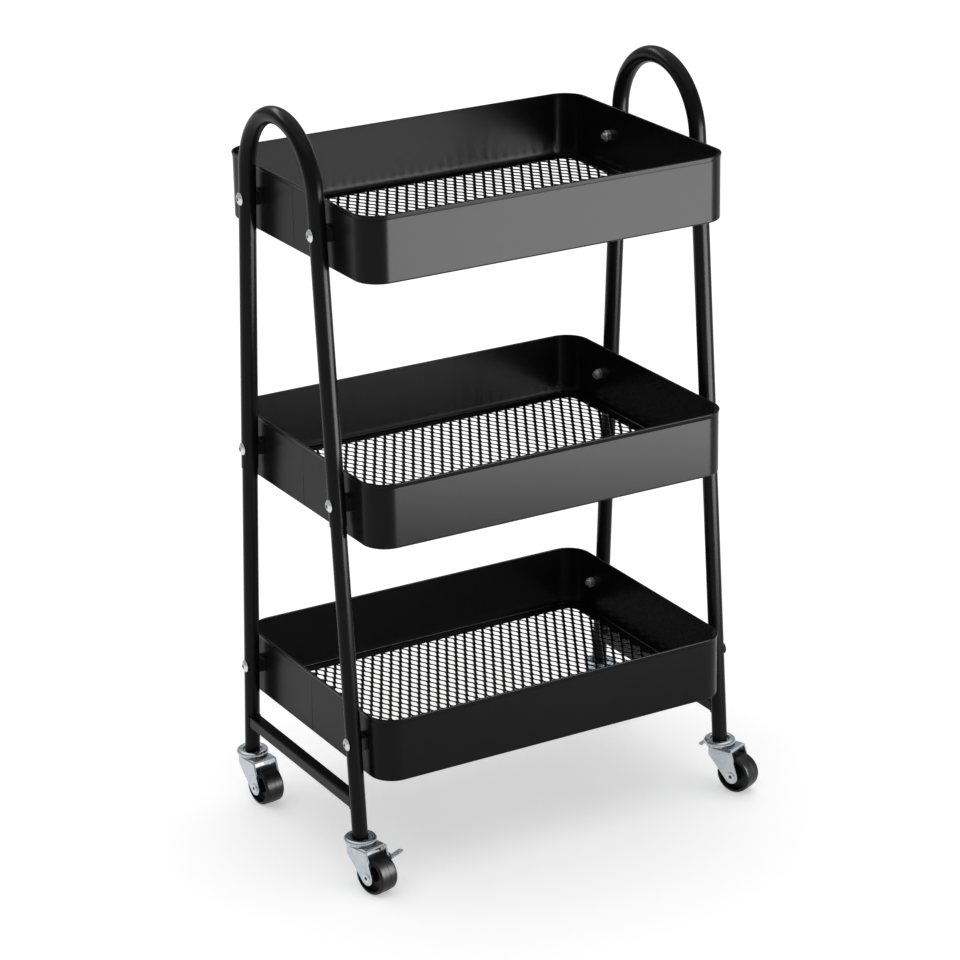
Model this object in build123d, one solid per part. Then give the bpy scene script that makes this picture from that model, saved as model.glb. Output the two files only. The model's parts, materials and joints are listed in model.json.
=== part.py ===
from build123d import *
import math
import os

# A three-tier basket cart on four swivel casters. Millimetres, +Z up.
# +X is the cart's right, +Y its back. Pieces are made round the middle of the baskets. The last step
# moves them all, so that the origin is on the floor under the middle of the whole cart.

# ---- Baskets ---------------------------------------------------------------------------------
basket_width = 410.0
basket_depth = 300.0
basket_height = 68.0
basket_corner_radius = 26.0
basket_sheet = 1.0
hem_height = 5.0          # the rim is folded outward over this height
hem_thickness = 1.2
hem_edge_radius = 0.8
flange_width = 12.0       # bottom edge turned inward, with the floor lying on it
flange_bend_radius = 1.6
bottom_basket_lift = 118.0    # floor to the bottom basket's underside
lower_tier_spacing = 249.0
upper_tier_spacing = 269.0

# ---- Expanded-metal floors -------------------------------------------------------------------
floor_sheet = 1.2
floor_inset = 7.0         # the floor stops this far inside the wall's outer face
floor_border = 2.0        # uncut metal left round the floor's edge
diamond_short_way = 11.4  # across X, from diamond to diamond
diamond_long_way = 20.6   # along Y
strand_width = 1.5

# ---- Side frames -----------------------------------------------------------------------------
arch_tube_diameter = 17.5
arch_tube_wall = 0.7
leg_tube_wall = 1.0
leg_fit = 0.05            # radial clearance of a leg inside the arch tube
leg_overlap = 62.0        # length of leg held inside the arch tube
tube_gap = 3.0            # basket wall to arch tube
splay_angle = 4.25        # each leg leans outward by this, in degrees
arch_lift = 62.25         # top basket's underside to the centre of the arch
leg_to_corner = 10.4      # bottom screws to the start of the basket's round corner
arch_end_drop = 22.0      # middle screws to the arch tube's lower end
bar_size = 12.7
bar_wall = 1.2
bar_drop = 22.5           # bottom basket's underside to the top of the cross bar

# ---- Screws, nuts and saddle spacers ---------------------------------------------------------
screw_diameter = 6.0
screw_clearance = 0.1     # radial clearance in every hole
screw_head_diameter = 13.0
screw_head_height = 2.8
screw_socket = 4.0        # across the flats
screw_socket_depth = 1.8
screw_lift = 36.0         # basket's underside to its screws
screw_tip = 3.0           # thread showing past the nut
nut_size = 10.0           # across the flats
nut_height = 5.0
spacer_width = 17.0
spacer_height = 13.0
spacer_wrap = 3.0         # how far the saddle reaches round the tube

# ---- Casters ---------------------------------------------------------------------------------
wheel_diameter = 40.0
wheel_width = 22.0
wheel_edge_radius = 2.5
wheel_rim = 3.5           # thickness of the tread ring
wheel_recess = 7.0        # depth of the hollow on each side
hub_diameter = 13.0
hub_clearance = 0.3       # hub end to cheek
caster_trail = 23.0       # swivel axis to axle
axle_diameter = 6.0
axle_head_diameter = 9.5
axle_head_height = 1.4
axle_head_edge_radius = 0.9
running_fit = 0.08        # radial clearance of turning pieces
fork_sheet = 2.0
fork_side_gap = 1.5       # wheel side to cheek
fork_crown_gap = 7.0      # wheel to the underside of the crown plate
fork_bend_radius = 3.0
fork_front = 22.0         # swivel axis to the crown's front edge
fork_back = 5.0           # swivel axis to the cheeks' back edge
cheek_drop = 9.5          # straight back edge of a cheek
cheek_tip_radius = 8.0
race_disc_height = 1.2
race_disc_margin = 1.0    # the disc stops this far inside the raceway's rim
ball_diameter = 3.0
ball_count = 16
ball_gap = 0.1
raceway_sheet = 1.3
raceway_lift = 0.4        # race disc to the underside of the dish
raceway_skirt_gap = 0.7
raceway_edge_radius = 0.9
dish_room = 1.2           # leg to the edge of the dish it stands in
dish_lean = 0.3           # the dish is this much narrower underneath
dome_rise = 1.25          # edge of the dish to the inner edge of the dome
dome_inner_room = 1.0     # inner edge of the dome to the balls
dome_outer_room = 1.25    # balls to the inside of the dome's skirt
stem_diameter = 8.0
stem_head_diameter = 13.0
stem_head_height = 3.5
stem_head_edge_radius = 1.1
stem_head_gap = 0.4
stem_reach = 15.0         # length of stem inside the leg's plug
plug_height = 20.0
plug_floor = 1.0          # room above the stem's tip

# How far each caster has turned about its stem, seen from above, in degrees.
caster_turn = {"front_left": 15.0, "front_right": 24.0, "back_left": 7.0, "back_right": 12.0}

# ---- Brake levers on the two front casters ---------------------------------------------------
lever_sheet = 1.5
lever_gap = 0.3           # cheek to lever
lever_boss_radius = 4.5
lever_arm_radius = 2.2
shoe_diameter = 3.0
shoe_reach = 10.0         # from the lever in over the tread
shoe_slot_gap = 0.4
rivet_diameter = 4.0
rivet_head_diameter = 7.0
rivet_head_height = 1.2
pedal_length = 15.0       # out from the cheek, on the side lever
pedal_width = 6.5
pedal_rise = 10.0         # slope of the side lever's pedal, in degrees
pedal_corner_radius = 2.0
rear_pedal_length = 22.5  # across the back of the fork, on the rear lever
rear_pedal_width = 4.5
# Places on the cheek: distance behind the swivel axis, and height above the top of the wheel.
lever_low_point = (8.0, -0.5)
lever_high_point = (14.0, 2.0)
side_pedal_point = (28.0, -5.5)
rear_pedal_point = (-21.0, 3.0)
side_lever_travel = 18.0
rear_lever_travel = 25.0

# ---- Sizes that follow -----------------------------------------------------------------------
tier_bottom = {
    "bottom": bottom_basket_lift,
    "middle": bottom_basket_lift + lower_tier_spacing,
    "top": bottom_basket_lift + lower_tier_spacing + upper_tier_spacing,
}
splay = math.radians(splay_angle)
arch_radius_out = arch_tube_diameter / 2
arch_radius_in = arch_radius_out - arch_tube_wall
leg_radius_out = arch_radius_in - leg_fit
leg_radius_in = leg_radius_out - leg_tube_wall
tier_tube_radius = {
    "bottom": leg_radius_out,
    "middle": arch_radius_out,
    "top": arch_radius_out,
}
tube_x = basket_width / 2 + tube_gap + arch_radius_out
arch_centre_z = tier_bottom["top"] + arch_lift
bottom_screw_y = basket_depth / 2 - basket_corner_radius - leg_to_corner
bottom_screw_drop = arch_centre_z - tier_bottom["bottom"] - screw_lift
arch_bend = (bottom_screw_y - bottom_screw_drop * math.tan(splay)) * math.cos(splay)
arch_end_z = tier_bottom["middle"] + screw_lift - arch_end_drop

axle_z = wheel_diameter / 2
fork_half_gap = wheel_width / 2 + fork_side_gap
fork_half_width = fork_half_gap + fork_sheet
dish_radius = leg_radius_out + dish_room
dome_radius_in = dish_radius + dome_rise
race_radius = dome_radius_in + dome_inner_room + ball_diameter / 2
dome_radius_out = race_radius + ball_diameter / 2 + dome_outer_room
raceway_radius = dome_radius_out + raceway_sheet
race_disc_radius = raceway_radius - race_disc_margin
crown_under_z = wheel_diameter + fork_crown_gap
crown_top_z = crown_under_z + fork_sheet
race_top_z = crown_top_z + race_disc_height
dish_under_z = race_top_z + raceway_lift
dish_top_z = dish_under_z + raceway_sheet
ball_z = race_top_z + ball_gap + ball_diameter / 2
dome_under_z = ball_z + ball_diameter / 2 + ball_gap
dome_top_z = dome_under_z + raceway_sheet


def leg_y(z):
    """Distance of a side frame's tube axis from the cart's middle plane, at height z."""
    return arch_bend / math.cos(splay) + (arch_centre_z - z) * math.tan(splay)


def leg_rod(side, end, radius, low_z, high_z):
    """A solid rod on the axis of one leg. side is -1 left or 1 right, end is -1 front or 1 back."""
    foot = Vector(side * tube_x, end * leg_y(low_z), low_z)
    head = Vector(side * tube_x, end * leg_y(high_z), high_z)
    along = Plane(origin=foot, x_dir=(1, 0, 0), z_dir=head - foot)
    return extrude(along * Circle(radius), amount=(head - foot).length)


def cross_rod(side, y, z, radius):
    """A rod along X through one side of the cart, for cutting screw holes."""
    reach = arch_tube_diameter * 2
    middle = Plane(origin=(side * tube_x, y, z), z_dir=(1, 0, 0))
    return extrude(middle * Circle(radius), amount=reach, both=True)


def screw_places(tier, side):
    """The two screw axes that hold a basket to one side frame: (end, y, z)."""
    z = tier_bottom[tier] + screw_lift
    return [(end, end * leg_y(z), z) for end in (-1, 1)]


def outline(inset):
    """A basket's rounded rectangle, drawn in by inset."""
    width = basket_width - 2 * inset
    depth = basket_depth - 2 * inset
    return RectangleRounded(width, depth, basket_corner_radius - inset)


# ---- Side frames -----------------------------------------------------------------------------
def arch_rod(side, radius):
    """The inverted U on the arch tube's centre line, as a solid rod of one radius."""
    foot_y = leg_y(arch_end_z)
    turn_y = arch_bend * math.cos(splay)
    turn_z = arch_centre_z + arch_bend * math.sin(splay)
    front_foot = (side * tube_x, -foot_y, arch_end_z)
    front_turn = (side * tube_x, -turn_y, turn_z)
    crown = (side * tube_x, 0, arch_centre_z + arch_bend)
    back_turn = (side * tube_x, turn_y, turn_z)
    back_foot = (side * tube_x, foot_y, arch_end_z)
    path = Wire(
        [
            Edge.make_line(front_foot, front_turn),
            Edge.make_three_point_arc(front_turn, crown, back_turn),
            Edge.make_line(back_turn, back_foot),
        ]
    )
    start = Plane(origin=front_foot, x_dir=(1, 0, 0), z_dir=path % 0)
    return sweep(start * Circle(radius), path=path)


def arch(side):
    """One bent upper tube, with the screw holes of the top and middle baskets."""
    tube = arch_rod(side, arch_radius_out) - arch_rod(side, arch_radius_in)
    for tier in ("top", "middle"):
        for end, y, z in screw_places(tier, side):
            tube -= cross_rod(side, y, z, screw_diameter / 2 + screw_clearance)
    return tube


def leg(side, end):
    """One lower tube, cut level where it stands on its caster."""
    slack = leg_radius_out
    top_z = arch_end_z + leg_overlap
    tube = leg_rod(side, end, leg_radius_out, dish_top_z - slack, top_z)
    tube -= leg_rod(side, end, leg_radius_in, dish_top_z - 2 * slack, top_z + slack)
    below = Box(4 * slack, 4 * slack, 4 * slack, align=(Align.CENTER, Align.CENTER, Align.MAX))
    tube -= Pos(side * tube_x, end * leg_y(dish_top_z), dish_top_z) * below
    for tier in ("middle", "bottom"):
        for screw_end, y, z in screw_places(tier, side):
            if screw_end == end:
                tube -= cross_rod(side, y, z, screw_diameter / 2 + screw_clearance)
    return tube


def cross_bar(side):
    """The square tube between a side's two legs, coped to fit them."""
    z = tier_bottom["bottom"] - bar_drop - bar_size / 2
    length = 2 * leg_y(z)
    bar = Box(bar_size, length, bar_size)
    bar -= Box(bar_size - 2 * bar_wall, length, bar_size - 2 * bar_wall)
    bar = Pos(side * tube_x, 0, z) * bar
    for end in (-1, 1):
        bar -= leg_rod(side, end, leg_radius_out, z - bar_size, z + bar_size)
    return bar


# ---- Baskets ---------------------------------------------------------------------------------
def basket(tier):
    """A bent sheet wall with a folded rim and an inward flange at the bottom."""
    z = tier_bottom[tier]
    shell = extrude(outline(0), basket_height)
    outer_edges = shell.edges().group_by(Axis.Z)[0]
    shell = fillet(outer_edges, flange_bend_radius)
    hem = extrude(outline(-hem_thickness), hem_height)
    rim_edges = hem.edges().group_by(Axis.Z)
    hem = fillet(rim_edges[0] + rim_edges[-1], hem_edge_radius)
    shell += Pos(0, 0, basket_height - hem_height) * hem
    shell -= Pos(0, 0, basket_sheet) * extrude(outline(basket_sheet), basket_height)
    shell -= extrude(outline(basket_sheet + flange_width), basket_sheet)
    shell = Pos(0, 0, z) * shell
    for side in (-1, 1):
        for end, y, hole_z in screw_places(tier, side):
            shell -= cross_rod(side, y, hole_z, screw_diameter / 2 + screw_clearance)
    return shell


def mesh_floor(tier):
    """The expanded-metal floor on a basket's flange: a sheet with rows of diamond holes."""
    strand_slope = math.atan(diamond_short_way / diamond_long_way)
    half_x = diamond_short_way / 2 - strand_width / 2 / math.cos(strand_slope)
    half_y = half_x * diamond_long_way / diamond_short_way
    reach_x = basket_width / 2 - floor_inset - floor_border
    reach_y = basket_depth / 2 - floor_inset - floor_border
    corner = basket_corner_radius - floor_inset - floor_border
    corner_x, corner_y = reach_x - corner, reach_y - corner
    rows = math.ceil(reach_y / diamond_long_way) * 2
    columns = math.ceil(reach_x / diamond_short_way)

    def fits(x, y):
        """True if a point lies inside the border's rounded rectangle."""
        over_x, over_y = abs(x) - corner_x, abs(y) - corner_y
        if over_x > 0 and over_y > 0:
            return math.hypot(over_x, over_y) < corner
        return abs(x) < reach_x and abs(y) < reach_y

    holes = []
    for row in range(-rows, rows + 1):
        y = row * diamond_long_way / 2
        for column in range(-columns, columns + 1):
            x = (column + (row % 2) / 2) * diamond_short_way
            tips = [(x + half_x, y), (x, y + half_y), (x - half_x, y), (x, y - half_y)]
            if all(fits(*tip) for tip in tips):
                holes.append(Wire.make_polygon(tips, close=True))
    sheet = Face(outline(floor_inset).face().outer_wire(), holes)
    return Pos(0, 0, tier_bottom[tier] + basket_sheet) * extrude(sheet, floor_sheet, dir=(0, 0, 1))


# ---- Screws, nuts and spacers ----------------------------------------------------------------
def screw(length):
    """A button-head screw along -Z, its head's underside at the origin."""
    half = screw_head_diameter / 2
    dome_radius = (half**2 + screw_head_height**2) / (2 * screw_head_height)
    ball = Pos(0, 0, screw_head_height - dome_radius) * Sphere(dome_radius)
    head = ball & Pos(0, 0, screw_head_height / 2) * Cylinder(half, screw_head_height)
    socket = extrude(RegularPolygon(screw_socket / 2, 6, major_radius=False), screw_socket_depth)
    head -= Pos(0, 0, screw_head_height - screw_socket_depth) * socket
    return head + extrude(Circle(screw_diameter / 2), -length)


def nut():
    """A hex nut whose seat is at the origin and whose body is along -Z."""
    body = extrude(RegularPolygon(nut_size / 2, 6, major_radius=False), -nut_height)
    return body - extrude(Circle(screw_diameter / 2), -nut_height)


def facing(side, x, y, z):
    """A placement whose +Z points out of the cart, towards one side."""
    return Plane(origin=(side * x, y, z), z_dir=(side, 0, 0)).location


def screws(tier):
    seat_x = tube_x + tier_tube_radius[tier]
    tip_x = basket_width / 2 - basket_sheet - nut_height - screw_tip
    made = []
    for side in (-1, 1):
        for end, y, z in screw_places(tier, side):
            made.append(facing(side, seat_x, y, z) * screw(seat_x - tip_x))
    return made


def nuts(tier):
    seat_x = basket_width / 2 - basket_sheet
    made = []
    for side in (-1, 1):
        for end, y, z in screw_places(tier, side):
            made.append(facing(side, seat_x, y, z) * nut())
    return made


def spacers(tier):
    """Saddle blocks between the tubes and the basket wall, hollowed to the tube."""
    radius = tier_tube_radius[tier]
    wall_x = basket_width / 2
    depth = tube_x - radius - wall_x + spacer_wrap
    made = []
    for side in (-1, 1):
        for end, y, z in screw_places(tier, side):
            block = Box(depth, spacer_width, spacer_height)
            block = Pos(side * (wall_x + depth / 2), y, z) * block
            block -= leg_rod(side, end, radius, z - spacer_height, z + spacer_height)
            block -= cross_rod(side, y, z, screw_diameter / 2 + screw_clearance)
            made.append(block.solids().sort_by(Axis.X)[0 if side == 1 else -1])
    return made


# ---- Casters ---------------------------------------------------------------------------------
# A caster is built with its swivel axis on Z and its wheel trailing towards -Y.
def raceway():
    """The dished upper race that the leg stands in, a domed ring over the balls."""
    skirt_z = race_top_z + raceway_skirt_gap
    section = Polyline(
        (stem_diameter / 2, dish_under_z),
        (dish_radius - dish_lean, dish_under_z),
        (dome_radius_in, dome_under_z),
        (dome_radius_out, dome_under_z),
        (dome_radius_out, skirt_z),
        (raceway_radius, skirt_z),
        (raceway_radius, dome_top_z),
        (dome_radius_in, dome_top_z),
        (dish_radius, dish_top_z),
        (stem_diameter / 2, dish_top_z),
        close=True,
    )
    ring = revolve(Plane.XZ * make_face(section), Axis.Z)
    rim = ring.edges().filter_by(GeomType.CIRCLE).group_by(Axis.Z)[-1]
    return fillet(rim, raceway_edge_radius)


def race_balls():
    made = []
    for place in PolarLocations(race_radius, ball_count):
        made.append(Pos(0, 0, ball_z) * place * Sphere(ball_diameter / 2))
    return made


def stem():
    """The kingpin: its head hangs under the crown plate and its shank is held in the leg's plug."""
    head_top_z = crown_under_z - stem_head_gap
    pin = Pos(0, 0, head_top_z - stem_head_height) * extrude(
        Circle(stem_head_diameter / 2), stem_head_height
    )
    pin = fillet(pin.edges().group_by(Axis.Z)[0], stem_head_edge_radius)
    shank = extrude(Circle(stem_diameter / 2), dish_top_z + stem_reach - head_top_z)
    return pin + Pos(0, 0, head_top_z) * shank


def leg_plug(side, end):
    """The insert inside a leg's foot, bored upright for the stem."""
    slack = leg_radius_out
    plug = leg_rod(side, end, leg_radius_in, dish_top_z - slack, dish_top_z + plug_height)
    foot = Pos(side * tube_x, end * leg_y(dish_top_z), dish_top_z)
    below = Box(4 * slack, 4 * slack, 4 * slack, align=(Align.CENTER, Align.CENTER, Align.MAX))
    plug -= foot * below
    return plug - foot * extrude(Circle(stem_diameter / 2), stem_reach + plug_floor)


def on_cheek(point):
    """A point on a cheek as Y and Z. It is given from the swivel axis and the top of the wheel."""
    return (-point[0], wheel_diameter + point[1])


def side_sketch(sketch):
    """A sketch of Y and Z stood up on the cart's YZ plane."""
    return Plane.YZ * sketch


def cheek_outline():
    """The fork's side view: a broad top that narrows to a round end at the axle."""
    top = Polyline(
        (fork_back, crown_top_z),
        (fork_back, crown_top_z - cheek_drop),
        (-fork_front, crown_top_z),
        close=True,
    )
    tip = Pos(-caster_trail, axle_z) * Circle(cheek_tip_radius)
    return make_hull(top.edges() + tip.edges())


def shoe_point(lever_type):
    return lever_high_point if lever_type == "side" else lever_low_point


def pivot_point(lever_type):
    return lever_low_point if lever_type == "side" else lever_high_point


def turned_shoe(lever_type):
    """Where the shoe is with the brake on."""
    pivot, shoe = pivot_point(lever_type), shoe_point(lever_type)
    turn = -side_lever_travel if lever_type == "side" else rear_lever_travel
    cos, sin = math.cos(math.radians(turn)), math.sin(math.radians(turn))
    back, up = shoe[0] - pivot[0], shoe[1] - pivot[1]
    return (pivot[0] + back * cos - up * sin, pivot[1] + back * sin + up * cos)


def fork(lever_type):
    """A folded sheet fork: crown plate, two cheeks and the raised disc that the balls run on."""
    height = crown_top_z - axle_z + cheek_tip_radius
    channel = Rectangle(2 * fork_half_width, height)
    channel = fillet(channel.vertices().group_by(Axis.Y)[-1], fork_bend_radius)
    hollow = Rectangle(2 * fork_half_gap, height)
    hollow = fillet(hollow.vertices().group_by(Axis.Y)[-1], fork_bend_radius - fork_sheet)
    channel -= Pos(0, -fork_sheet) * hollow
    channel = Plane.XZ * Pos(0, crown_top_z - height / 2) * channel
    length = caster_trail + cheek_tip_radius + fork_back
    folded = Pos(0, fork_back, 0) * extrude(channel, length)
    folded &= extrude(side_sketch(cheek_outline()), fork_half_width, both=True)
    heel = Pos(0, 0, crown_under_z) * extrude(Circle(fork_half_width), fork_sheet)
    wide = 4 * fork_half_width
    behind = Box(wide, wide, wide, align=(Align.CENTER, Align.MAX, Align.CENTER))
    heel -= Pos(0, 0, crown_under_z) * behind
    race = Pos(0, 0, crown_top_z) * extrude(Circle(race_disc_radius), race_disc_height)
    made = folded + heel + race
    made -= extrude(Circle(stem_diameter / 2 + running_fit), race_top_z)
    axle_hole = side_sketch(Pos(-caster_trail, axle_z) * Circle(axle_diameter / 2))
    made -= extrude(axle_hole, fork_half_width, both=True)
    if lever_type:
        rivet_hole = side_sketch(Pos(*on_cheek(pivot_point(lever_type))) * Circle(rivet_diameter / 2))
        made -= extrude(rivet_hole, fork_half_width)
        slot_radius = shoe_diameter / 2 + shoe_slot_gap
        ends = [shoe_point(lever_type), turned_shoe(lever_type)]
        rounds = [Pos(*on_cheek(point)) * Circle(slot_radius) for point in ends]
        slot = make_hull(rounds[0].edges() + rounds[1].edges())
        made -= extrude(side_sketch(slot), fork_half_width)
    return made


def wheel():
    """A solid plastic wheel with a dished hollow round the hub on each side."""
    half = wheel_width / 2
    tyre = wheel_diameter / 2
    rim_in = tyre - wheel_rim
    hub = hub_diameter / 2
    bore = axle_diameter / 2 + running_fit
    body = extrude(Circle(tyre), half, both=True)
    body = fillet(body.edges().filter_by(GeomType.CIRCLE), wheel_edge_radius)
    for way in (-1, 1):
        hollow = Pos(0, 0, way * (half - wheel_recess / 2)) * Cylinder(rim_in, wheel_recess)
        body -= hollow
    body += extrude(Circle(hub), fork_half_gap - hub_clearance, both=True)
    body -= extrude(Circle(bore), 2 * half, both=True)
    return Pos(0, -caster_trail, axle_z) * Rot(0, 90, 0) * body


def axle():
    """The rivet through both cheeks and the wheel."""
    pin = extrude(Circle(axle_diameter / 2), fork_half_width, both=True)
    for way in (-1, 1):
        head = extrude(Circle(axle_head_diameter / 2), way * axle_head_height)
        outer = head.edges().sort_by(Axis.Z)[-1 if way == 1 else 0]
        head = fillet(outer, axle_head_edge_radius)
        pin += Pos(0, 0, way * fork_half_width) * head
    return Pos(0, -caster_trail, axle_z) * Rot(0, 90, 0) * pin


def lever_plate(lever_type):
    """The lever's flat arm beside the cheek, before its pedal is added."""
    end = side_pedal_point if lever_type == "side" else rear_pedal_point
    boss = Pos(*on_cheek(pivot_point(lever_type))) * Circle(lever_boss_radius)
    shoe_end = Pos(*on_cheek(shoe_point(lever_type))) * Circle(shoe_diameter)
    tip = Pos(*on_cheek(end)) * Circle(lever_arm_radius)
    arm = make_hull(boss.edges() + tip.edges()) + make_hull(boss.edges() + shoe_end.edges())
    return extrude(side_sketch(arm), lever_sheet)


def brake_lever(lever_type):
    """A stamped lever: flat arm, a foot pedal, and a pin that presses on the tread."""
    inner_x = fork_half_width + lever_gap
    lever = Pos(inner_x, 0, 0) * lever_plate(lever_type)
    if lever_type == "side":
        y, z = on_cheek(side_pedal_point)
        outward = (Align.MIN, Align.CENTER, Align.CENTER)
        pedal = Box(pedal_length, pedal_width, lever_sheet, align=outward)
        pedal = fillet(pedal.edges().filter_by(Axis.Z), pedal_corner_radius)
        pedal = Pos(lever_sheet / 2, 0, 0) * Rot(0, -pedal_rise, 0) * pedal
    else:
        y, z = on_cheek(rear_pedal_point)
        across = (Align.MAX, Align.CENTER, Align.CENTER)
        pedal = Box(rear_pedal_length, rear_pedal_width, lever_sheet, align=across)
        pedal = fillet(pedal.edges().filter_by(Axis.Z), pedal_corner_radius)
        pedal = Pos(lever_sheet, 0, 0) * pedal
    lever += Pos(inner_x, y, z) * pedal
    pin = side_sketch(Pos(*on_cheek(shoe_point(lever_type))) * Circle(shoe_diameter / 2))
    lever += Pos(inner_x, 0, 0) * extrude(pin, -shoe_reach)
    pivot = Pos(*on_cheek(pivot_point(lever_type)))
    bore = side_sketch(pivot * Circle(rivet_diameter / 2 + running_fit))
    return lever - Pos(inner_x, 0, 0) * extrude(bore, lever_sheet)


def brake_rivet(lever_type):
    """The rivet that a lever turns on, headed inside the cheek and outside the lever."""
    centre = Pos(*on_cheek(pivot_point(lever_type)))
    outer_x = fork_half_width + lever_gap + lever_sheet + running_fit
    shank = Pos(fork_half_gap, 0, 0) * extrude(
        side_sketch(centre * Circle(rivet_diameter / 2)), outer_x - fork_half_gap
    )
    disc = side_sketch(centre * Circle(rivet_head_diameter / 2))
    inner = Pos(fork_half_gap, 0, 0) * extrude(disc, -rivet_head_height)
    outer = Pos(outer_x, 0, 0) * extrude(disc, rivet_head_height)
    return shank + inner + outer


# ---- The whole cart --------------------------------------------------------------------------
pieces = {}


def add(name, *shapes):
    """Adds one node. Its solids stay separate."""
    pieces[name] = [solid for shape in shapes for solid in shape.solids()]


def add_caster(corner, side, end, lever_type):
    """Adds one corner's plug and caster, turned to where the caster points."""
    foot = Pos(side * tube_x, end * leg_y(dish_top_z), 0)
    turned = foot * Rot(0, 0, caster_turn[corner])
    add(f"{corner}_leg_plug", leg_plug(side, end))
    add(f"{corner}_raceway", foot * raceway())
    add(f"{corner}_stem", foot * stem())
    add(f"{corner}_race_balls", *[turned * ball for ball in race_balls()])
    add(f"{corner}_fork", turned * fork(lever_type))
    add(f"{corner}_axle", turned * axle())
    add(f"{corner}_wheel", turned * wheel())
    if lever_type:
        add(f"{corner}_brake_lever", turned * brake_lever(lever_type))
        add(f"{corner}_brake_rivet", turned * brake_rivet(lever_type))


for side, side_name in ((-1, "left"), (1, "right")):
    add(f"{side_name}_arch", arch(side))
    add(f"{side_name}_cross_bar", cross_bar(side))
    for end, end_name in ((-1, "front"), (1, "back")):
        corner = f"{end_name}_{side_name}"
        add(f"{corner}_leg", leg(side, end))
        lever_types = {"front_left": "side", "front_right": "rear"}
        add_caster(corner, side, end, lever_types.get(corner))

for tier in tier_bottom:
    add(f"{tier}_basket", basket(tier))
    add(f"{tier}_mesh_floor", mesh_floor(tier))
    add(f"{tier}_screws", *screws(tier))
    add(f"{tier}_nuts", *nuts(tier))
    add(f"{tier}_spacers", *spacers(tier))

cart = Compound([solid for solids in pieces.values() for solid in solids])
cart_middle = cart.bounding_box().center()
to_origin = Pos(-cart_middle.X, -cart_middle.Y, 0)

os.makedirs("parts", exist_ok=True)
for name, solids in pieces.items():
    placed = [to_origin * solid for solid in solids]
    export_step(placed[0] if len(placed) == 1 else Compound(placed), f"parts/{name}.step")
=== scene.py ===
import json
import math

import bmesh
import bpy
from mathutils import Matrix, Vector


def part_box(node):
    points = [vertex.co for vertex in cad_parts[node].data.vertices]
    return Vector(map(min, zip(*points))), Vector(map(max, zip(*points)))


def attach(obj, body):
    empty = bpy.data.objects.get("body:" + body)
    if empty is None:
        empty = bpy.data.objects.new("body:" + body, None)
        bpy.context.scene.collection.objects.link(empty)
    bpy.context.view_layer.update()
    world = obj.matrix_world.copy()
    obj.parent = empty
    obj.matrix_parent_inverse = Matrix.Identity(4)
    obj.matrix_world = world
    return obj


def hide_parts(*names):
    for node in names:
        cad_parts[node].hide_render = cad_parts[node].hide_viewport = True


# The looks of a three-tier basket cart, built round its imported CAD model. Metres, +Z up.

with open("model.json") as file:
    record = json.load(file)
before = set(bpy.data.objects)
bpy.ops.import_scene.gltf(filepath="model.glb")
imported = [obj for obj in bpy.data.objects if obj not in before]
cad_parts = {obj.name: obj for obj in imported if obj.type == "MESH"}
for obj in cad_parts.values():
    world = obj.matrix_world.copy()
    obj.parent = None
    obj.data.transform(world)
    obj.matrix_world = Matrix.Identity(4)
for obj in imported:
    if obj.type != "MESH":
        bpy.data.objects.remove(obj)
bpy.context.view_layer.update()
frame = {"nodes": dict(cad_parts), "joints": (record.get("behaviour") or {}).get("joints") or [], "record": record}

MM = 0.001
TIERS = ("bottom", "middle", "top")
SIDES = {"left": -1, "right": 1}
ENDS = {"front": -1, "back": 1}
CORNERS = [(end, side) for end in ENDS for side in SIDES]

# ---- Sizes that the CAD model's boxes don't give ---------------------------------------------
# ---- Frames and baskets ----
SPLAY = math.radians(4.25)        # each leg leans outward by this
BASKET_SHEET = 1.0 * MM
BASKET_CORNER = 26 * MM
HEM_THICKNESS = 1.2 * MM
HEM_HEIGHT = 5.0 * MM
HEM_LEAN = 1.0 * MM               # the fold closes towards the wall at its lower edge
FLANGE_WIDTH = 12.0 * MM
FLANGE_BEND = 2.2 * MM
SEAM_WIDTH = 0.9 * MM
SEAM_RISE = 0.35 * MM             # the lapped sheet stands proud of the wall by this
RIM_ARC_STEPS = 20
DIAMOND_SHORT = 11.4 * MM
DIAMOND_LONG = 20.6 * MM
STRAND_WIDTH = 2.9 * MM
STRAND_THICKNESS = 1.2 * MM
STRAND_TILT = math.radians(18)    # strands lean down towards +X
BOND_LENGTH = 3.0 * MM
ARCH_WALL = 0.7 * MM
LEG_WALL = 1.0 * MM
BAR_CORNER = 1.6 * MM
TUBE_SEGMENTS = 64
ARCH_BEND_STEPS = 48
WELD_SIZE = 1.3 * MM
WELD_SEGMENTS = 10
WELD_STEPS = 6                    # between two points of the bar's outline
WELD_RIPPLE = 0.15                # share of the bead's size
WELD_RIPPLE_TURN = 1.9            # radians from one step to the next

# ---- Casters ----
STEM_HOLE_RADIUS = 4.1 * MM
DISH_DEPTH = 2.8 * MM             # top of the dome to the dish's floor
DISH_SHEET = 0.9 * MM
DISH_RADIUS = 9.2 * MM
DISH_RADIUS_UNDER = 8.8 * MM
DOME_RADIUS = 10.4 * MM
DOME_SHEET = 1.2 * MM
SKIRT_EDGE = 0.3 * MM             # the skirt ends this far above the raceway's lowest point
TREAD_HALF = 11 * MM
HUB_HALF = 12.2 * MM
HUB_RADIUS = 6.5 * MM
WHEEL_BORE_RADIUS = 3.1 * MM
PARTING_LINE = 0.15 * MM
RIVET_HALF = 14.5 * MM            # middle of the wheel to a cheek's outer face
RIVET_RADIUS = 3.0 * MM
RIVET_HEAD_RADIUS = 4.75 * MM
RIVET_HEAD = 1.3 * MM
RIVET_LIP = 0.1 * MM              # the rolled edge stands above the head by this
RIVET_LIP_RADIUS = 2.4 * MM
RIVET_HOLE_RADIUS = 1.9 * MM
RIVET_HOLE_DEPTH = 0.9 * MM

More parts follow.
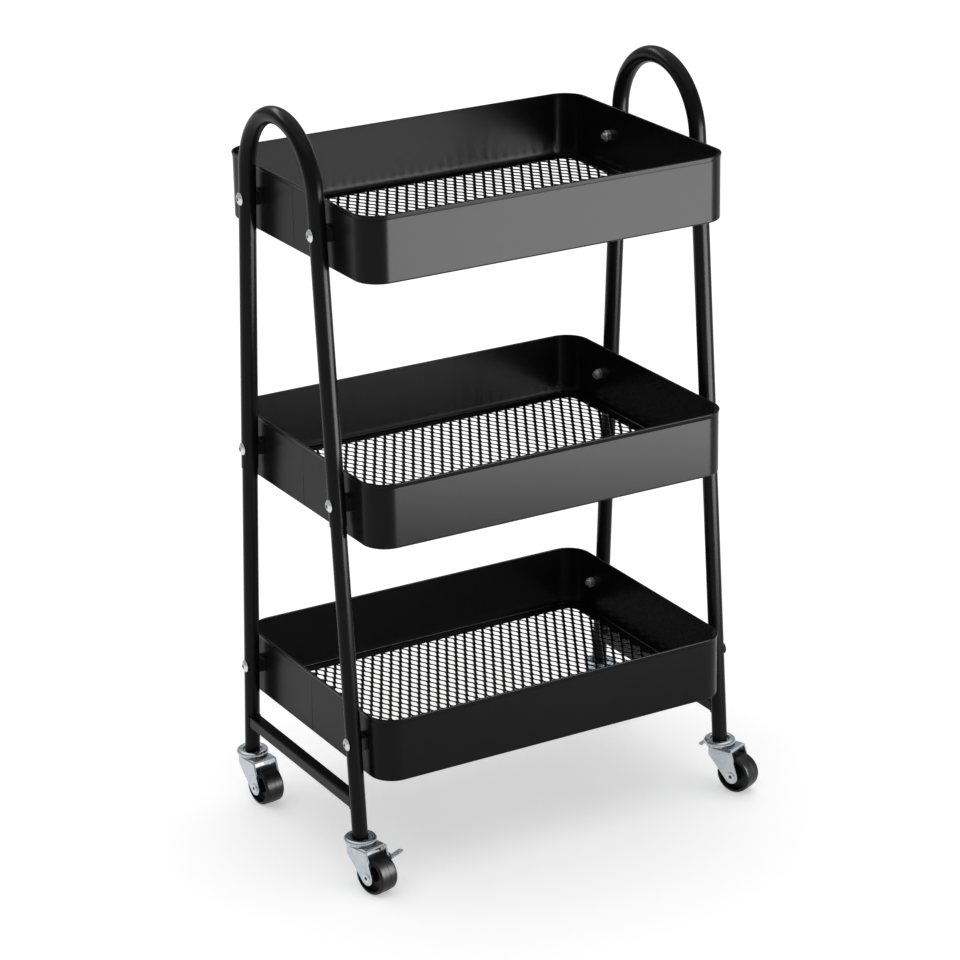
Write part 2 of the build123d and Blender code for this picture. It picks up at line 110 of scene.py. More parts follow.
# ---- Rounding of the CAD model's own meshes ----
MERGE_DISTANCE = 0.002 * MM
FLAT_ANGLE = math.radians(0.6)
HARD_ANGLE = math.radians(38)
SHARP_ANGLE = 32                  # degrees
BEVEL_STEPS = 2

# ---- Sockets of the colour mixing node ----
MIX_COLOUR_A = 6
MIX_COLOUR_B = 7
MIX_RESULT = 2

# The softboxes light only these pieces: they would glare on bare metal.
BLACK_PIECES = bpy.data.collections.new("black_pieces")

BASKET_LOW, BASKET_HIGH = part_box("top_basket")
MIDDLE = Vector(((BASKET_LOW.x + BASKET_HIGH.x) / 2, (BASKET_LOW.y + BASKET_HIGH.y) / 2, 0))


def cart_box(node):
    """A node's corners, measured from the middle of the baskets."""
    low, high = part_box(node)
    return low - MIDDLE, high - MIDDLE


# ---- Mesh helpers ----------------------------------------------------------------------------
def from_middle(mesh):
    """Moves a mesh made round the middle of the baskets to its place on the cart."""
    mesh.transform(Matrix.Translation(MIDDLE))
    return mesh


def add_piece(name, mesh, body, slot, sharp=SHARP_ANGLE):
    """A piece on one body of the cart, smooth but for edges sharper than an angle in degrees."""
    mesh.shade_smooth()
    mesh.set_sharp_from_angle(angle=math.radians(sharp))
    piece = bpy.data.objects.new(name, mesh)
    bpy.context.scene.collection.objects.link(piece)
    piece.data.materials.append(MATERIALS[slot])
    flatten = piece.modifiers.new("flat_faces", "WEIGHTED_NORMAL")
    flatten.keep_sharp = True
    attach(piece, body)
    if slot.startswith("black"):
        BLACK_PIECES.objects.link(piece)
    return piece


def mesh_from(name, vertices, faces):
    """A mesh whose faces all look outward."""
    mesh = bpy.data.meshes.new(name)
    mesh.from_pydata(vertices, [], faces)
    shell = bmesh.new()
    shell.from_mesh(mesh)
    bmesh.ops.recalc_face_normals(shell, faces=shell.faces)
    shell.to_mesh(mesh)
    shell.free()
    return mesh


def rounded(points, steps=5):
    """A closed outline whose corners are turned into arcs. Each point is (x, y, radius)."""
    made = []
    for i, (x, y, radius) in enumerate(points):
        here = Vector((x, y))
        before = Vector(points[i - 1][:2]) - here
        after = Vector(points[(i + 1) % len(points)][:2]) - here
        if radius <= 0:
            made.append(here)
            continue
        half_turn = before.angle(after) / 2
        reach = radius / math.tan(half_turn)
        centre = here + (before.normalized() + after.normalized()).normalized() * (
            radius / math.sin(half_turn)
        )
        start = here + before.normalized() * reach - centre
        finish = here + after.normalized() * reach - centre
        swing = math.atan2(start.x * finish.y - start.y * finish.x, start.dot(finish))
        for step in range(steps + 1):
            made.append(centre + Matrix.Rotation(swing * step / steps, 2) @ start)
    return made


def rings_to_faces(rings, points, closed_rings):
    """Quads between rings of equal size. Each ring is itself closed."""
    faces = []
    count = rings if closed_rings else rings - 1
    for ring in range(count):
        after = (ring + 1) % rings
        for point in range(points):
            beside = (point + 1) % points
            faces.append(
                (
                    ring * points + point,
                    ring * points + beside,
                    after * points + beside,
                    after * points + point,
                )
            )
    return faces


def lathe(name, outline, segments=96):
    """A closed outline of (radius, height) turned about Z."""
    vertices = []
    for i in range(segments):
        turn = 2 * math.pi * i / segments
        for point in outline:
            vertices.append((point.x * math.cos(turn), point.x * math.sin(turn), point.y))
    return mesh_from(name, vertices, rings_to_faces(segments, len(outline), True))


def swept_tube(name, path, radius, wall):
    """An open tube with eased ends, along a path of (point, direction) in one YZ plane."""
    lip = wall / 3
    start, start_way = path[0]
    finish, finish_way = path[-1]
    stations = [
        (start, start_way, radius - lip, radius - wall + lip),
        (start + start_way * lip, start_way, radius, radius - wall),
    ]
    for centre, direction in path[1:-1]:
        stations.append((centre, direction, radius, radius - wall))
    stations.append((finish - finish_way * lip, finish_way, radius, radius - wall))
    stations.append((finish, finish_way, radius - lip, radius - wall + lip))
    across = Vector((1, 0, 0))
    vertices = []
    for inner in (False, True):
        order = reversed(stations) if inner else stations
        for centre, direction, outer_radius, inner_radius in order:
            up = direction.cross(across)
            size = inner_radius if inner else outer_radius
            for i in range(TUBE_SEGMENTS):
                turn = 2 * math.pi * i / TUBE_SEGMENTS
                vertices.append(centre + (across * math.cos(turn) + up * math.sin(turn)) * size)
    return mesh_from(name, vertices, rings_to_faces(2 * len(stations), TUBE_SEGMENTS, True))


def refined(node, bevel):
    """A new piece from a CAD node's own mesh, with its hard edges rounded."""
    source = frame["nodes"][node]
    shape = bmesh.new()
    shape.from_mesh(source.data)
    bmesh.ops.remove_doubles(shape, verts=shape.verts, dist=MERGE_DISTANCE)
    bmesh.ops.dissolve_limit(
        shape,
        angle_limit=FLAT_ANGLE,
        verts=shape.verts,
        edges=shape.edges,
    )
    hard = [
        edge
        for edge in shape.edges
        if len(edge.link_faces) == 2 and edge.calc_face_angle() > HARD_ANGLE
    ]
    bmesh.ops.bevel(
        shape,
        geom=hard,
        offset=bevel,
        segments=BEVEL_STEPS,
        profile=0.5,
        affect="EDGES",
        clamp_overlap=True,
    )
    mesh = bpy.data.meshes.new(f"{node}_look")
    shape.to_mesh(mesh)
    shape.free()
    mesh.materials.clear()
    piece = add_piece(f"{node}_look", mesh, body_of_node(node), SLOT_OF[node])
    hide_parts(node)


def body_of_node(node):
    """The body that a CAD node rides on."""
    bodies = frame["record"]["behaviour"]["bodies"]
    return next(body for body, nodes in bodies.items() if node in nodes)


# ---- Material helpers ------------------------------------------------------------------------
def new_material(name):
    """A material with its nodes cleared down to a Principled shader."""
    material = bpy.data.materials.new(name)
    material.use_nodes = True
    return material, material.node_tree, material.node_tree.nodes["Principled BSDF"]


def noise(tree, scale, detail=3.0, roughness=0.5, stretch=(1, 1, 1)):
    """Noise over the piece's own space, in metres."""
    place = tree.nodes.new("ShaderNodeTexCoord")
    mapping = tree.nodes.new("ShaderNodeMapping")
    mapping.inputs["Scale"].default_value = stretch
    texture = tree.nodes.new("ShaderNodeTexNoise")
    texture.inputs["Scale"].default_value = scale
    texture.inputs["Detail"].default_value = detail
    texture.inputs["Roughness"].default_value = roughness
    tree.links.new(place.outputs["Object"], mapping.inputs["Vector"])
    tree.links.new(mapping.outputs["Vector"], texture.inputs["Vector"])
    return texture.outputs["Fac"]


def spread(tree, value, low, high, start=0.3, end=0.7):
    """Maps a noise from its middle range onto low to high."""
    node = tree.nodes.new("ShaderNodeMapRange")
    node.inputs["From Min"].default_value = start
    node.inputs["From Max"].default_value = end
    node.inputs["To Min"].default_value = low
    node.inputs["To Max"].default_value = high
    tree.links.new(value, node.inputs["Value"])
    return node.outputs["Result"]


def colours(tree, value, stops):
    """A colour ramp. stops are (place, colour)."""
    node = tree.nodes.new("ShaderNodeValToRGB")
    ramp = node.color_ramp
    while len(ramp.elements) < len(stops):
        ramp.elements.new(0.5)
    for element, (place, colour) in zip(ramp.elements, stops):
        element.position = place
        element.color = (*colour, 1)
    tree.links.new(value, node.inputs["Fac"])
    return node.outputs["Color"]


def bumps(tree, shader, layers):
    """Stacks bump nodes. layers are (height value, strength, depth in metres)."""
    normal = None
    for value, strength, depth in layers:
        bump = tree.nodes.new("ShaderNodeBump")
        bump.inputs["Strength"].default_value = strength
        bump.inputs["Distance"].default_value = depth
        tree.links.new(value, bump.inputs["Height"])
        if normal:
            tree.links.new(normal, bump.inputs["Normal"])
        normal = bump.outputs["Normal"]
    tree.links.new(normal, shader.inputs["Normal"])


def painted_shade_in_corners(tree, colour, reach):
    """Paints shade into a colour: darker in sockets and corners narrower than a reach, where little light gets in.
    """
    shade = tree.nodes.new("ShaderNodeAmbientOcclusion")
    shade.only_local = True
    shade.inputs["Distance"].default_value = reach
    depth = colours(tree, shade.outputs["AO"], [(0.35, (0.1, 0.1, 0.1)), (0.85, (1, 1, 1))])
    mix = tree.nodes.new("ShaderNodeMix")
    mix.data_type = "RGBA"
    mix.blend_type = "MULTIPLY"
    mix.inputs["Factor"].default_value = 1
    tree.links.new(colour, mix.inputs[MIX_COLOUR_A])
    tree.links.new(depth, mix.inputs[MIX_COLOUR_B])
    return mix.outputs[MIX_RESULT]


# ---- Materials -------------------------------------------------------------------------------
def powder_coat(name, roughness):
    """Satin black powder coat: fine orange peel over sheet that isn't quite flat."""
    material, tree, shader = new_material(name)
    shader.inputs["Specular IOR Level"].default_value = 0.08
    cloud = noise(tree, 35, detail=4)
    tone = colours(tree, cloud, [(0.3, (0.0045, 0.0045, 0.0047)), (0.7, (0.0060, 0.0060, 0.0062))])
    tree.links.new(tone, shader.inputs["Base Color"])
    grain = noise(tree, 260, detail=3)
    tree.links.new(spread(tree, grain, roughness - 0.01, roughness + 0.02), shader.inputs["Roughness"])
    peel = noise(tree, 750, detail=2)
    panel = noise(tree, 9, detail=1)
    bumps(tree, shader, [(panel, 0.1, 1.0 * MM), (peel, 0.05, 0.02 * MM)])
    return material


def moulded_plastic(name, tone, roughness, grain_scale):
    """Black moulded plastic: a fine grain with scuffs."""
    material, tree, shader = new_material(name)
    shader.inputs["Specular IOR Level"].default_value = 0.22
    cloud = noise(tree, 90, detail=4)
    darker = tuple(0.75 * channel for channel in tone)
    tree.links.new(colours(tree, cloud, [(0.35, darker), (0.65, tone)]), shader.inputs["Base Color"])
    scuff = noise(tree, 300, detail=4, stretch=(1, 1, 0.35))
    tree.links.new(spread(tree, scuff, roughness - 0.06, roughness + 0.1), shader.inputs["Roughness"])
    grain = noise(tree, grain_scale, detail=2)
    bumps(tree, shader, [(grain, 0.16, 0.08 * MM)])
    return material


def zinc_plate(name):
    """Bright blue-white zinc, with faint passivation colour and drawing marks."""
    material, tree, shader = new_material(name)
    shader.inputs["Metallic"].default_value = 1.0
    cloud = noise(tree, 140, detail=5, roughness=0.6)
    tints = [(0.3, (0.46, 0.51, 0.55)), (0.5, (0.52, 0.57, 0.61)), (0.7, (0.57, 0.60, 0.62))]
    # Painted shade: the zinc's colour darkens in its sockets and narrow corners.
    tone = painted_shade_in_corners(tree, colours(tree, cloud, tints), 2 * MM)
    tree.links.new(tone, shader.inputs["Base Color"])
    streaks = noise(tree, 420, detail=4, stretch=(1, 1, 0.25))
    tree.links.new(spread(tree, streaks, 0.22, 0.31), shader.inputs["Roughness"])
    ripple = noise(tree, 160, detail=2)
    bumps(tree, shader, [(ripple, 0.08, 0.05 * MM), (streaks, 0.04, 0.01 * MM)])
    return material


def bright_metal(name, tone, roughness):
    """Plated or bare steel, a little dull, so that it still shows in a dark place."""
    material, tree, shader = new_material(name)
    shader.inputs["Metallic"].default_value = 0.75
    cloud = noise(tree, 400, detail=4)
    darker = tuple(0.85 * channel for channel in tone)
    unshaded_tone = colours(tree, cloud, [(0.35, darker), (0.65, tone)])
    # Painted shade: the metal's colour darkens in its sockets and narrow corners, such as the screws' hex sockets.
    tree.links.new(painted_shade_in_corners(tree, unshaded_tone, 2 * MM), shader.inputs["Base Color"])
    tree.links.new(spread(tree, cloud, roughness, roughness + 0.12), shader.inputs["Roughness"])
    marks = noise(tree, 1300, detail=3)
    bumps(tree, shader, [(marks, 0.12, 0.04 * MM)])
    return material


def floor_paper(name):
    """Seamless white studio paper."""
    material, tree, shader = new_material(name)
    fibre = noise(tree, 220, detail=5)
    shader.inputs["Emission Color"].default_value = (1, 1, 1, 1)
    shader.inputs["Emission Strength"].default_value = 0.42
    tree.links.new(
        colours(tree, fibre, [(0.3, (0.86, 0.86, 0.86)), (0.7, (0.88, 0.88, 0.88))]),
        shader.inputs["Base Color"],
    )
    shader.inputs["Roughness"].default_value = 0.75
    shader.inputs["Specular IOR Level"].default_value = 0.2
    bumps(tree, shader, [(fibre, 0.05, 0.1 * MM)])
    return material


MATERIALS = {
    "black_powder_coat": powder_coat("black_powder_coat", 0.25),
    "black_mesh_coat": powder_coat("black_mesh_coat", 0.28),
    "black_plastic_spacer": moulded_plastic("black_plastic_spacer", (0.004, 0.004, 0.004), 0.5, 900),
    "black_wheel_plastic": moulded_plastic("black_wheel_plastic", (0.005, 0.005, 0.0053), 0.34, 700),
    "bright_fastener": bright_metal("bright_fastener", (0.74, 0.75, 0.76), 0.24),
    "bearing_steel": bright_metal("bearing_steel", (0.75, 0.75, 0.76), 0.08),
    "plain_steel": bright_metal("plain_steel", (0.42, 0.42, 0.42), 0.35),
    "zinc_plate": zinc_plate("zinc_plate"),
}
SLOT_OF = {row["node"]: row["material_slot"] for row in frame["record"]["subparts"]}


def finish_cad_nodes():
    """Every CAD node gets the material of its slot."""
    for node, slot in SLOT_OF.items():
        mesh = frame["nodes"][node].data
        mesh.materials.clear()
        mesh.materials.append(MATERIALS[slot])


# ---- Side frames -----------------------------------------------------------------------------
def tube_line():
    """The arch's centre line, from the middle of the baskets.

    It gives the tube's X, its radius, the bend's radius and centre height, the foot's height, and
    the distance of a leg from the middle at any height.
    """
    low, high = cart_box("right_arch")
    radius = (high.x - low.x) / 2
    foot_y = high.y - radius * math.cos(SPLAY)
    foot_z = low.z + radius * math.sin(SPLAY)
    climb = high.z - radius - foot_z
    bend = (foot_y - climb * math.tan(SPLAY)) / (1 / math.cos(SPLAY) - math.tan(SPLAY))
    centre_z = high.z - radius - bend

    def leg_y(z):
        """How far a leg's line is from the middle at a height."""
        return bend / math.cos(SPLAY) + (centre_z - z) * math.tan(SPLAY)

    return (low.x + high.x) / 2, radius, bend, centre_z, foot_z, leg_y


TUBE_X, ARCH_RADIUS, ARCH_BEND, ARCH_CENTRE_Z, ARCH_FOOT_Z, leg_y = tube_line()
LEG_LOW, LEG_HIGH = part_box("front_right_leg")
LEG_RADIUS = (LEG_HIGH.x - LEG_LOW.x) / 2


def arch(side_name):
    """The bent upper tube of one side."""
    x = SIDES[side_name] * TUBE_X
    turn_y = ARCH_BEND * math.cos(SPLAY)
    turn_z = ARCH_CENTRE_Z + ARCH_BEND * math.sin(SPLAY)
    front_foot = Vector((x, -leg_y(ARCH_FOOT_Z), ARCH_FOOT_Z))
    back_foot = Vector((x, leg_y(ARCH_FOOT_Z), ARCH_FOOT_Z))
    front_turn = Vector((x, -turn_y, turn_z))
    back_turn = Vector((x, turn_y, turn_z))
    climb = Vector((0, math.sin(SPLAY), math.cos(SPLAY)))
    fall = Vector((0, math.sin(SPLAY), -math.cos(SPLAY)))
    path = [(front_foot.lerp(front_turn, share), climb) for share in (0, 0.25, 0.5, 0.75)]
    for step in range(ARCH_BEND_STEPS + 1):
        angle = math.pi - SPLAY - (math.pi - 2 * SPLAY) * step / ARCH_BEND_STEPS
        spoke = Vector((0, math.cos(angle), math.sin(angle)))
        along = Vector((0, math.sin(angle), -math.cos(angle)))
        path.append((Vector((x, 0, ARCH_CENTRE_Z)) + spoke * ARCH_BEND, along))
    path += [(back_turn.lerp(back_foot, share), fall) for share in (0.25, 0.5, 0.75, 1)]
    mesh = swept_tube(f"{side_name}_arch_tube", path, ARCH_RADIUS, ARCH_WALL)
    piece = add_piece(f"{side_name}_arch_tube", from_middle(mesh), "cart", "black_powder_coat")
    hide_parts(f"{side_name}_arch")


def leg(end_name, side_name):
    """One lower tube, cut level at its foot."""
    node = f"{end_name}_{side_name}_leg"
    low, high = cart_box(node)
    x = (low.x + high.x) / 2
    radius = (high.x - low.x) / 2
    end = ENDS[end_name]
    lip = 0.3 * MM
    outside = [(low.z, radius - lip), (low.z + lip, radius)]
    outside += [(low.z + (high.z - low.z) * step / 8, radius) for step in range(1, 8)]
    outside += [(high.z, radius)]
    inside = [(high.z, radius - LEG_WALL), (low.z, radius - LEG_WALL)]
    vertices = []
    for z, size in outside + inside:
        for i in range(TUBE_SEGMENTS):
            turn = 2 * math.pi * i / TUBE_SEGMENTS
            across = size * math.cos(turn)
            along = size / math.cos(SPLAY) * math.sin(turn)
            vertices.append((x + across, end * leg_y(z) + along, z))
    rings = len(outside) + len(inside)
    mesh = mesh_from(f"{node}_tube", vertices, rings_to_faces(rings, TUBE_SEGMENTS, True))
    piece = add_piece(f"{node}_tube", from_middle(mesh), "cart", "black_powder_coat")
    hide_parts(node)


def bar_reach(across, z):
    """How far from the middle a cross bar meets its leg's round side."""
    return leg_y(z) - math.sqrt(max(0, LEG_RADIUS**2 - across**2)) / math.cos(SPLAY)


def cross_bar(side_name):
    """The square tube between a side's legs, with its rolled corners."""
    node = f"{side_name}_cross_bar"
    low, high = cart_box(node)
    half = (high.x - low.x) / 2
    middle_x = (low.x + high.x) / 2
    middle_z = (low.z + high.z) / 2
    turns = [(1, 1), (-1, 1), (-1, -1), (1, -1)]
    section = rounded([(across * half, up * half, BAR_CORNER) for across, up in turns], steps=6)
    ends = []
    for end in (-1, 1):
        for point in section:
            z = middle_z + point.y
            ends.append((middle_x + point.x, end * bar_reach(point.x, z), z))
    mesh = mesh_from(f"{node}_tube", ends, rings_to_faces(2, len(section), False))
    piece = add_piece(f"{node}_tube", from_middle(mesh), "cart", "black_powder_coat")
    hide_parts(node)
    for end_name, end in ENDS.items():
        weld(f"{side_name}_{end_name}_weld", middle_x, middle_z, end, section)


def weld(name, middle_x, middle_z, end, section):
    """A bead of weld round the end of a cross bar, with the ripples of its making."""
    line = []
    for i, corner in enumerate(section):
        after = section[(i + 1) % len(section)]
        line += [corner.lerp(after, step / WELD_STEPS) for step in range(WELD_STEPS)]
    vertices = []
    for i, point in enumerate(line):
        z = middle_z + point.y
        y = bar_reach(point.x, z)
        outward = Vector((point.x, 0, point.y)).normalized()
        ripple = WELD_RIPPLE * math.sin(i * WELD_RIPPLE_TURN)
        size = WELD_SIZE * (1 - WELD_RIPPLE + ripple)
        for step in range(WELD_SEGMENTS):
            turn = 2 * math.pi * step / WELD_SEGMENTS
            offset = outward * math.cos(turn) + Vector((0, -end, 0)) * math.sin(turn)
            vertices.append(Vector((middle_x + point.x, end * y, z)) + offset * size)
    mesh = mesh_from(name, vertices, rings_to_faces(len(line), WELD_SEGMENTS, True))
    add_piece(name, from_middle(mesh), "cart", "black_powder_coat", sharp=60)


# ---- Baskets ---------------------------------------------------------------------------------
def rim_line(half_width, half_depth, corner):
    """Points round a rounded rectangle, each with its outward direction and whether it is the seam."""
    made = []
    corners = [(1, -1, -90), (1, 1, 0), (-1, 1, 90), (-1, -1, 180)]
    for across, along, start in corners:
        centre = Vector((across * (half_width - corner), along * (half_depth - corner), 0))
        for step in range(RIM_ARC_STEPS + 1):
            angle = math.radians(start + 90 * step / RIM_ARC_STEPS)
            out = Vector((math.cos(angle), math.sin(angle), 0))
            made.append((centre + out * corner, out, False))
        if (across, along) == (-1, 1):
            west = Vector((-1, 0, 0))
            for shift in (1, 0.35, -0.35, -1):
                place = Vector((-half_width, shift * SEAM_WIDTH, 0))
                made.append((place, west, abs(shift) < 1))
    return made


def basket(tier):
    """The sheet wall with its folded rim, its inward flange and the seam on the left side."""
    node = f"{tier}_basket"
    low, high = cart_box(node)
    half_width = high.x - HEM_THICKNESS
    half_depth = high.y - HEM_THICKNESS
    height = high.z - low.z
    hem_z = height - HEM_HEIGHT
    sheet = BASKET_SHEET
    section = rounded(
        [
            (-sheet - FLANGE_WIDTH, 0, 0.3 * MM),
            (0, 0, FLANGE_BEND),
            (0, hem_z, 0.25 * MM),
            (HEM_THICKNESS - HEM_LEAN, hem_z, 0.4 * MM),
            (HEM_THICKNESS, height, 1.0 * MM),
            (-sheet, height, 0.9 * MM),
            (-sheet, sheet, FLANGE_BEND - sheet),
            (-sheet - FLANGE_WIDTH, sheet, 0.3 * MM),
        ]
    )
    line = rim_line(half_width, half_depth, BASKET_CORNER)
    vertices = []
    for place, out, seam in line:
        for point in section:
            on_wall = abs(point.x) < 0.01 * MM and point.y < hem_z - MM
            lap = SEAM_RISE if seam and on_wall else 0
            vertices.append(place + out * (point.x + lap) + Vector((0, 0, low.z + point.y)))
    mesh = mesh_from(f"{node}_sheet", vertices, rings_to_faces(len(line), len(section), True))
    piece = add_piece(f"{node}_sheet", from_middle(mesh), "cart", "black_powder_coat")
    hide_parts(node)


def mesh_floor(tier):
    """Expanded metal: tilted strands that part and join again at bonds, two strands wide."""
    node = f"{tier}_mesh_floor"
    low, high = cart_box(node)
    tilt = Vector((math.cos(STRAND_TILT), 0, -math.sin(STRAND_TILT)))
    flat = Vector((math.sin(STRAND_TILT), 0, math.cos(STRAND_TILT)))
    rise = STRAND_WIDTH * math.sin(STRAND_TILT) + STRAND_THICKNESS / 2 * math.cos(STRAND_TILT)
    level = low.z + rise
    half_x, half_y = high.x - STRAND_WIDTH, high.y - STRAND_WIDTH
    inset = BASKET_HIGH.x - MIDDLE.x - HEM_THICKNESS - high.x
    corner = BASKET_CORNER - inset

    def inside(point):
        """Whether a point is on the floor's rounded rectangle, a strand's width in."""
        over_x, over_y = abs(point.x) - half_x + corner, abs(point.y) - half_y + corner
        if over_x > 0 and over_y > 0:
            return math.hypot(over_x, over_y) < corner
        return abs(point.x) < half_x and abs(point.y) < half_y

    columns = math.ceil(high.x / DIAMOND_SHORT) * 2
    rows = math.ceil(high.y / DIAMOND_LONG) * 2
    bond = Vector((0, BOND_LENGTH / 2, 0))
    vertices = []
    faces = []
    for row in range(-rows, rows + 1):
        for column in range(-columns, columns + 1):
            if (row + column) % 2:
                continue
            start = Vector((column * DIAMOND_SHORT / 2, row * DIAMOND_LONG / 2, level))
            for way in (-1, 1):
                finish = start + Vector((way * DIAMOND_SHORT / 2, DIAMOND_LONG / 2, 0))
                if not (inside(start) and inside(finish)):
                    continue
                shift = tilt * STRAND_WIDTH / 2 * way
                path = [start + shift, start + shift + bond, finish - shift - bond, finish - shift]
                first = len(vertices)
                for place in path:
                    for across, up in ((-1, -1), (1, -1), (1, 1), (-1, 1)):
                        side = tilt * across * STRAND_WIDTH / 2
                        vertices.append(place + side + flat * up * STRAND_THICKNESS / 2)
                for face in rings_to_faces(len(path), 4, False):
                    faces.append(tuple(first + corner_index for corner_index in face))
                faces.append(tuple(first + i for i in (3, 2, 1, 0)))
                last = first + 4 * (len(path) - 1)
                faces.append(tuple(last + i for i in (0, 1, 2, 3)))
    mesh = mesh_from(f"{node}_strands", vertices, faces)
    piece = add_piece(f"{node}_strands", from_middle(mesh), "cart", "black_mesh_coat")
    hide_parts(node)


# ---- Casters ---------------------------------------------------------------------------------
def joint_place(name):
    """Where a joint is, and its axis."""
    joint = next(joint for joint in frame["joints"] if joint["name"] == name)
    return Vector(joint["pos_m"]), Vector(joint["axis"]).normalized()


def on_axis(centre, axis):
    """A placement that turns +Z onto an axis."""
    turn = Vector((0, 0, 1)).rotation_difference(axis).to_matrix().to_4x4()
    return Matrix.Translation(centre) @ turn


def raceway(corner):
    """The pressed upper race: a dish round the leg's foot inside a rolled ring."""
    node = f"{corner}_raceway"
    low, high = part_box(node)
    outer = (high.x - low.x) / 2
    top = high.z - low.z
    inner = outer - DOME_SHEET
    under = top - DOME_SHEET
    dish = top - DISH_DEPTH
    dish_under = dish - DISH_SHEET
    section = rounded(
        [
            (STEM_HOLE_RADIUS, dish_under, 0),
            (DISH_RADIUS_UNDER, dish_under, 0.4 * MM),
            (DOME_RADIUS, under, 0.5 * MM),
            (inner, under, 2.2 * MM),
            (inner, SKIRT_EDGE, 0.2 * MM),
            (outer, SKIRT_EDGE, 0.3 * MM),
            (outer, top, 3.2 * MM),
            (DOME_RADIUS, top, 2.6 * MM),
            (DISH_RADIUS, dish, 0.8 * MM),
            (STEM_HOLE_RADIUS, dish, 0),
        ],
        steps=6,
    )
    mesh = lathe(f"{node}_pressing", section)
    centre = (low + high) / 2
    mesh.transform(Matrix.Translation((centre.x, centre.y, low.z)))
    piece = add_piece(f"{node}_pressing", mesh, "cart", "zinc_plate")
    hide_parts(node)


def wheel(corner):
    """A moulded wheel: crowned tread with a parting line, deep recess and hub on each side."""
    node = f"{corner}_wheel"
    centre, axis = joint_place(f"{corner}_roll")
    radius = centre.z
    side = [
        (radius - PARTING_LINE, 0.25 * MM, 0),
        (radius, 0.45 * MM, 0),
        (radius - 0.1 * MM, 6 * MM, 3 * MM),
        (radius - 0.4 * MM, TREAD_HALF, 2.6 * MM),
        (radius - 3.6 * MM, TREAD_HALF, 0.6 * MM),
        (radius - 4.2 * MM, 4.2 * MM, 1.2 * MM),
        (7.4 * MM, 4.0 * MM, 1.0 * MM),
        (HUB_RADIUS, HUB_HALF, 0.5 * MM),
        (WHEEL_BORE_RADIUS, HUB_HALF, 0.3 * MM),
    ]
    other = [(r, -z, size) for r, z, size in reversed(side)]
    mesh = lathe(f"{node}_moulding", rounded(side + other))
    mesh.transform(on_axis(centre, axis))
    piece = add_piece(f"{node}_moulding", mesh, f"{corner}_wheel", "black_wheel_plastic")
    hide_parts(node)


def axle(corner):
    """The hollow rivet that the wheel turns on, its ends rolled over the cheeks."""
    node = f"{corner}_axle"
    centre, axis = joint_place(f"{corner}_roll")
    half = [
        (RIVET_RADIUS, RIVET_HALF, 0),
        (RIVET_HEAD_RADIUS, RIVET_HALF, 0),
        (RIVET_HEAD_RADIUS, RIVET_HALF + RIVET_HEAD, 0.8 * MM),
        (RIVET_LIP_RADIUS, RIVET_HALF + RIVET_HEAD + RIVET_LIP, 0.4 * MM),
        (RIVET_HOLE_RADIUS, RIVET_HALF + RIVET_HOLE_DEPTH, 0.4 * MM),
    ]
    other = [(r, -z, size) for r, z, size in reversed(half)]
    mesh = lathe(f"{node}_rivet", rounded(other + half), segments=48)
    mesh.transform(on_axis(centre, axis))
    piece = add_piece(f"{node}_rivet", mesh, f"{corner}_caster", "bright_fastener")
    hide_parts(node)


def casters():
    """Everything below the legs. Only the front casters have brakes."""
    for end, side in CORNERS:
        corner = f"{end}_{side}"
        raceway(corner)
        wheel(corner)
        axle(corner)
        refined(f"{corner}_fork", 0.35 * MM)
    for corner in ("front_left", "front_right"):
        refined(f"{corner}_brake_lever", 0.4 * MM)
        refined(f"{corner}_brake_rivet", 0.3 * MM)


# ---- The whole cart --------------------------------------------------------------------------
def build_cart():
    """Every piece of the cart, on top of the CAD nodes that already look right."""
    finish_cad_nodes()
    for side in SIDES:
        arch(side)
        cross_bar(side)
    for end, side in CORNERS:
        leg(end, side)
    for tier in TIERS:
        basket(tier)
        mesh_floor(tier)
        refined(f"{tier}_spacers", 0.6 * MM)
        refined(f"{tier}_screws", 0.15 * MM)
        refined(f"{tier}_nuts", 0.35 * MM)
    casters()


# ---- Stage, lights and camera ----------------------------------------------------------------
def aimed(place, target):
    """A placement at one point whose -Z looks at another."""
    look = Vector(target) - Vector(place)
    turn = look.to_track_quat("-Z", "Y").to_matrix().to_4x4()
    return Matrix.Translation(place) @ turn


def stage():
    """A wide white floor."""
    reach = 20                    # metres
    mesh = bpy.data.meshes.new("studio_floor")
    corners = [(-reach, -reach, 0), (reach, -reach, 0), (reach, reach, 0), (-reach, reach, 0)]
    mesh.from_pydata(corners, [], [(0, 1, 2, 3)])
    floor = bpy.data.objects.new("studio_floor", mesh)
    floor.data.materials.append(floor_paper("studio_paper"))
    bpy.context.scene.collection.objects.link(floor)


def softbox(name, place, target, width, height, power):
    """A panel that only shows as a reflection in the black pieces. Metres and watts."""
    light = bpy.data.lights.new(name, "AREA")
    light.shape = "RECTANGLE"
    light.size = width
    light.size_y = height
    light.energy = power
    lamp = bpy.data.objects.new(name, light)
    lamp.matrix_world = aimed(place, target)
    lamp.visible_diffuse = False
    lamp.visible_camera = False
    lamp.light_linking.receiver_collection = BLACK_PIECES
    bpy.context.scene.collection.objects.link(lamp)


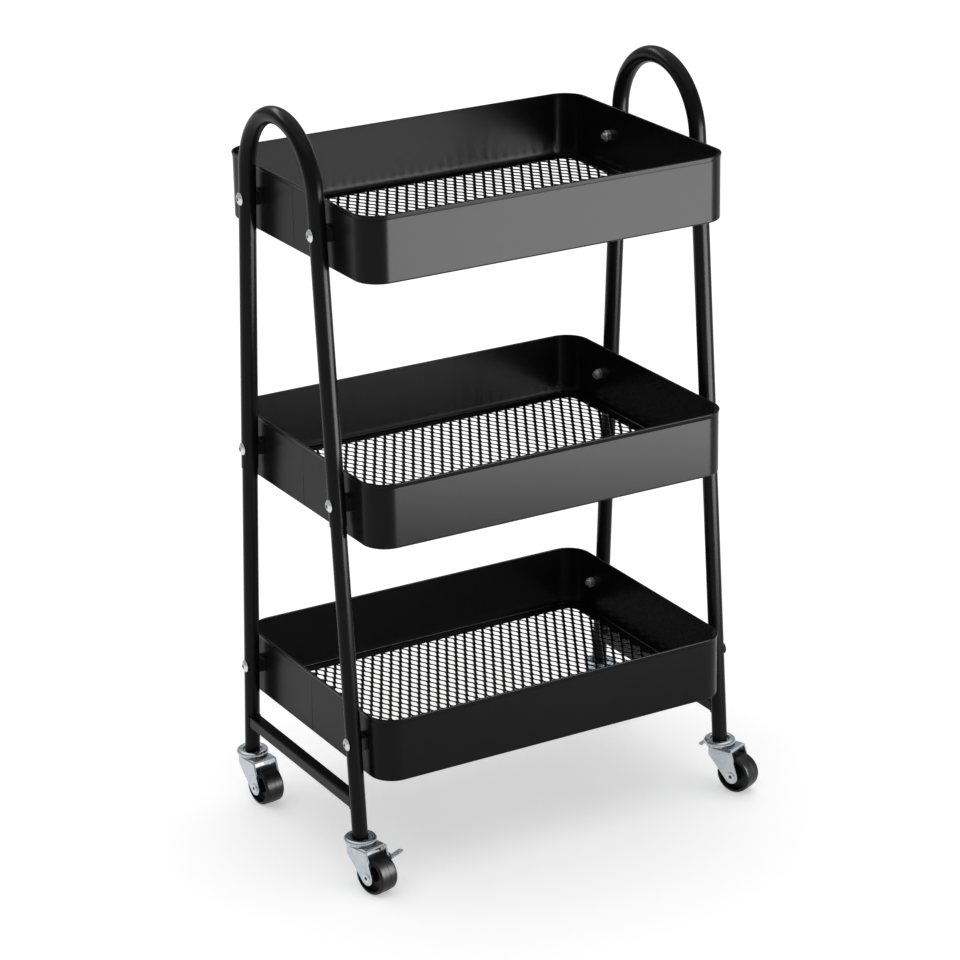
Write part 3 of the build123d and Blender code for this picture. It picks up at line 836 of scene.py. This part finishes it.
def sunlight(name, toward, spread_angle, strength):
    """Even light from one direction, softened over an angle in degrees."""
    light = bpy.data.lights.new(name, "SUN")
    light.energy = strength
    light.angle = math.radians(spread_angle)
    lamp = bpy.data.objects.new(name, light)
    lamp.matrix_world = aimed(toward, (0, 0, 0))
    bpy.context.scene.collection.objects.link(lamp)


def lights():
    """Soft light from above, two softboxes and a pale surrounding."""
    sunlight("overhead", toward=(0.1, 0.5, 3), spread_angle=90, strength=1.4)
    softbox(
        "front_right",
        place=(0.52, -0.95, 0.42),
        target=(0, 0, 0.42),
        width=0.9,
        height=0.8,
        power=54,
    )
    softbox(
        "high_strip",
        place=(-0.6, 1.6, 1.9),
        target=(0, 0, 0.5),
        width=1.6,
        height=0.3,
        power=16,
    )
    world = bpy.data.worlds.new("studio")
    world.use_nodes = True
    background = world.node_tree.nodes["Background"]
    background.inputs["Color"].default_value = (1, 1, 1, 1)
    background.inputs["Strength"].default_value = 0.36
    bpy.context.scene.world = world
    bpy.context.scene.view_settings.view_transform = "Standard"


def camera():
    """The viewpoint: in front of the cart, to its left and above it, a little turned."""
    azimuth = math.radians(-29.65)
    elevation = math.radians(20.9)
    roll = math.radians(-1.09)
    distance = 3.511              # metres
    lens = 127.6                  # millimetres, as the sensor's width
    sensor_width = 36
    target = MIDDLE + Vector((-0.001, 0.001, 0.353))
    back = Vector(
        (
            math.sin(azimuth) * math.cos(elevation),
            -math.cos(azimuth) * math.cos(elevation),
            math.sin(elevation),
        )
    )
    level = Vector((math.cos(azimuth), math.sin(azimuth), 0))
    upright = back.cross(level)
    right = level * math.cos(roll) + upright * math.sin(roll)
    up = upright * math.cos(roll) - level * math.sin(roll)
    data = bpy.data.cameras.new("camera")
    data.lens = lens
    data.sensor_width = sensor_width
    eye = bpy.data.objects.new("camera", data)
    turn = Matrix((right, up, back)).transposed().to_4x4()
    eye.matrix_world = Matrix.Translation(target + back * distance) @ turn
    bpy.context.scene.collection.objects.link(eye)
    bpy.context.scene.camera = eye


build_cart()
stage()
lights()
camera()
